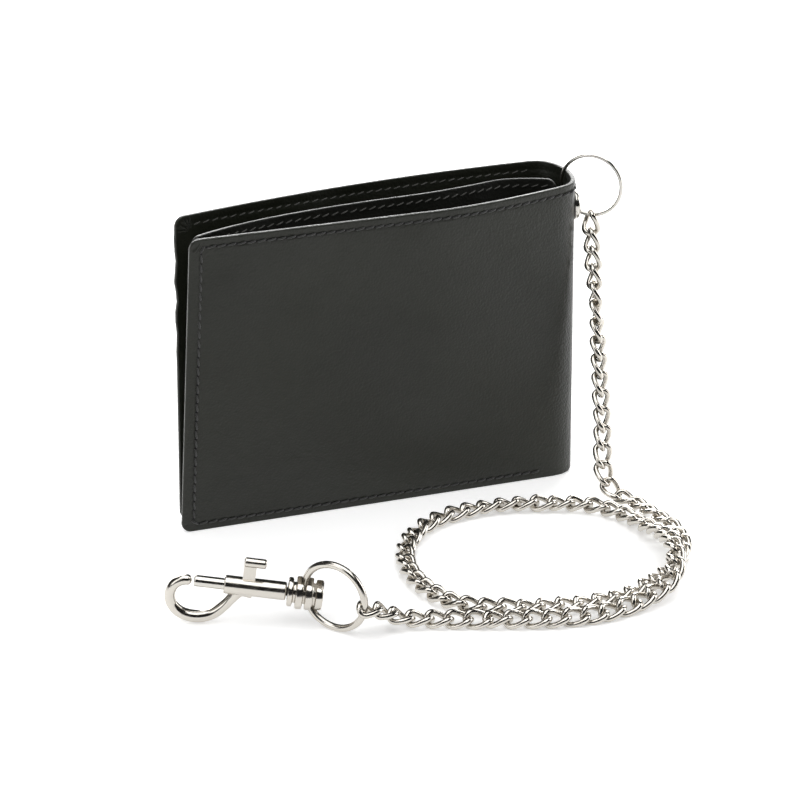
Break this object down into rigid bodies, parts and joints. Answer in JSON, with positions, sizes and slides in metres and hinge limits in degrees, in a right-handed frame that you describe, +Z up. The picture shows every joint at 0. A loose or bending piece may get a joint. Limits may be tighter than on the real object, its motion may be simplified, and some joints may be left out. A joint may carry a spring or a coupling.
{
  "type": "chain wallet",
  "caption": "Black leather bifold wallet standing on its edge, with an eyelet through the spine, a thin ring, a curb chain, and a second ring with a swivelling bolt snap for a belt loop",
  "frame": {"origin": "bottom centre of the wallet's box, with the rings, chain and snap left out", "axes": "+Z up with the wallet standing on its bottom edge, +X along its width towards the spine, +Y from the front cover to the back cover"},
  "size_m": [0.1452, 0.1103, 0.093],
  "materials": {
    "outer_leather": "smooth satin black leather with a fine grain",
    "panel_leather": "smooth satin black leather, edges burnished",
    "pocket_leather": "thin satin black leather",
    "nickel": "bright nickel plate, slightly warm",
    "eyelet_nickel": "bright nickel plate"
  },
  "bodies": {
    "front_leaf": {"outer_shell_front": "outer_leather", "inner_panel_front": "panel_leather", "card_pocket_front_1": "pocket_leather", "card_pocket_front_2": "pocket_leather", "card_pocket_front_3": "pocket_leather", "chain_hanging": "nickel", "chain_floor": "nickel"},
    "spine": {"outer_shell_spine": "outer_leather", "inner_panel_fold": "panel_leather", "eyelet": "eyelet_nickel"},
    "back_leaf": {"outer_shell_back": "outer_leather", "inner_panel_back": "panel_leather", "card_pocket_back_1": "pocket_leather", "card_pocket_back_2": "pocket_leather"},
    "wallet_ring": {"wallet_ring": "nickel"},
    "snap_ring": {"snap_ring": "nickel"},
    "swivel": {"swivel_head": "nickel"},
    "hook": {"hook_body": "nickel"},
    "bolt": {"bolt": "nickel", "thumb_piece": "nickel"}
  },
  "joints": [
    {"name": "fold_front", "type": "hinge", "parent": "front_leaf", "child": "spine", "pos_m": [0.05617, -0.0081, 0], "axis": [0, 0, -1], "range_deg": [0, 90], "deforming": ["chain_hanging"]},
    {"name": "fold_back", "type": "hinge", "parent": "spine", "child": "back_leaf", "pos_m": [0.05617, 0.0068, 0], "axis": [0, 0, -1], "range_deg": [0, 90]},
    {"name": "wallet_ring_turn", "type": "hinge", "parent": "spine", "child": "wallet_ring", "pos_m": [0.06212, -0.00284, 0.0839], "axis": [0.6157, 0.788, 0], "continuous": true},
    {"name": "snap_ring_turn", "type": "hinge", "parent": "front_leaf", "child": "snap_ring", "pos_m": [-0.03593, -0.0752, 0.00967], "axis": [0.749, 0.6626, 0], "continuous": true},
    {"name": "hook_swing", "type": "hinge", "parent": "front_leaf", "child": "swivel", "pos_m": [-0.04163, -0.0687, 0.0081], "axis": [0, 0, 1], "range_deg": [-15, 15]},
    {"name": "swivel_turn", "type": "hinge", "parent": "swivel", "child": "hook", "pos_m": [-0.04163, -0.0687, 0.0081], "axis": [0.9407, -0.3093, -0.1392], "continuous": true},
    {"name": "bolt_slide", "type": "slide", "parent": "hook", "child": "bolt", "axis": [0.9407, -0.3093, -0.1392], "range_m": [0, 0.006], "stiffness_N_per_m": 150, "springref_m": -0.002}
  ],
  "couplings": [
    {"joint": "fold_back", "follows": "fold_front", "ratio": 1}
  ]
}
